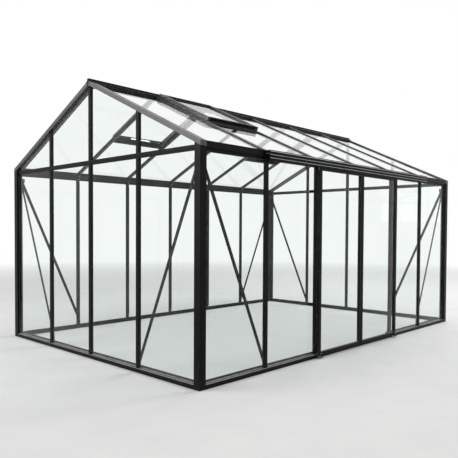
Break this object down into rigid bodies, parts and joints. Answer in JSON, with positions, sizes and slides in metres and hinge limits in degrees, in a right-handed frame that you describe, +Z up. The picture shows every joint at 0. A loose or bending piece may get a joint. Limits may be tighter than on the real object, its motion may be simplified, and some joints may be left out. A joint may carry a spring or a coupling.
{
  "type": "glass greenhouse",
  "caption": "Walk-in glass greenhouse with a ridged roof, slim dark metal frame, hinged roof vents and sliding doors hung outside its long side.",
  "frame": {"origin": "middle of the footprint, on the ground under the base sills", "axes": "+X along the ridge, away from the gable nearest in the picture; +Y from the door side to the back side; +Z up"},
  "size_m": [4.552, 3.13, 2.628],
  "materials": {
    "frame_coat": "satin",
    "clear_glass": "polished",
    "stay_metal": "satin",
    "nylon": "satin"
  },
  "bodies": {
    "frame": {"base_sills": "frame_coat", "doorway_threshold": "frame_coat", "corner_posts": "frame_coat", "door_side_mullions": "frame_coat", "back_side_mullions": "frame_coat", "front_gable_mullions": "frame_coat", "rear_gable_mullions": "frame_coat", "bottom_glazing_rails": "frame_coat", "front_gable_tie_rails": "frame_coat", "rear_gable_tie_rails": "frame_coat", "door_side_eaves_beam": "frame_coat", "back_side_eaves_beam": "frame_coat", "wind_braces": "frame_coat", "ridge_beam": "frame_coat", "front_gable_rafters": "frame_coat", "rear_gable_rafters": "frame_coat", "door_side_roof_bars": "frame_coat", "back_side_roof_bars": "frame_coat", "roof_vent_stiles": "frame_coat", "roof_vent_rails": "frame_coat", "roof_vent_crossbars": "frame_coat", "door_track_rail": "frame_coat", "door_track_cover": "frame_coat", "door_track_top": "frame_coat", "door_track_ends": "frame_coat", "door_guide_plates": "frame_coat", "door_side_glass": "clear_glass", "back_side_glass": "clear_glass", "front_gable_glass": "clear_glass", "rear_gable_glass": "clear_glass", "front_gable_top_glass": "clear_glass", "rear_gable_top_glass": "clear_glass", "door_side_roof_glass": "clear_glass", "back_side_roof_glass": "clear_glass", "roof_vent_glass": "clear_glass", "door_guide_rollers": "nylon", "roof_vent_stays": "stay_metal"},
    "left_door": {"left_door_stiles": "frame_coat", "left_door_rails": "frame_coat", "left_door_glass": "clear_glass", "left_door_hangers": "stay_metal", "left_door_rollers": "nylon"},
    "right_door": {"right_door_stiles": "frame_coat", "right_door_rails": "frame_coat", "right_door_glass": "clear_glass", "right_door_hangers": "stay_metal", "right_door_rollers": "nylon"}
  },
  "joints": [
    {"name": "left_door_slide", "type": "slide", "parent": "frame", "child": "left_door", "axis": [-1, 0, 0], "range_m": [0, 0.73]},
    {"name": "right_door_slide", "type": "slide", "parent": "frame", "child": "right_door", "axis": [1, 0, 0], "range_m": [0, 0.73]}
  ]
}
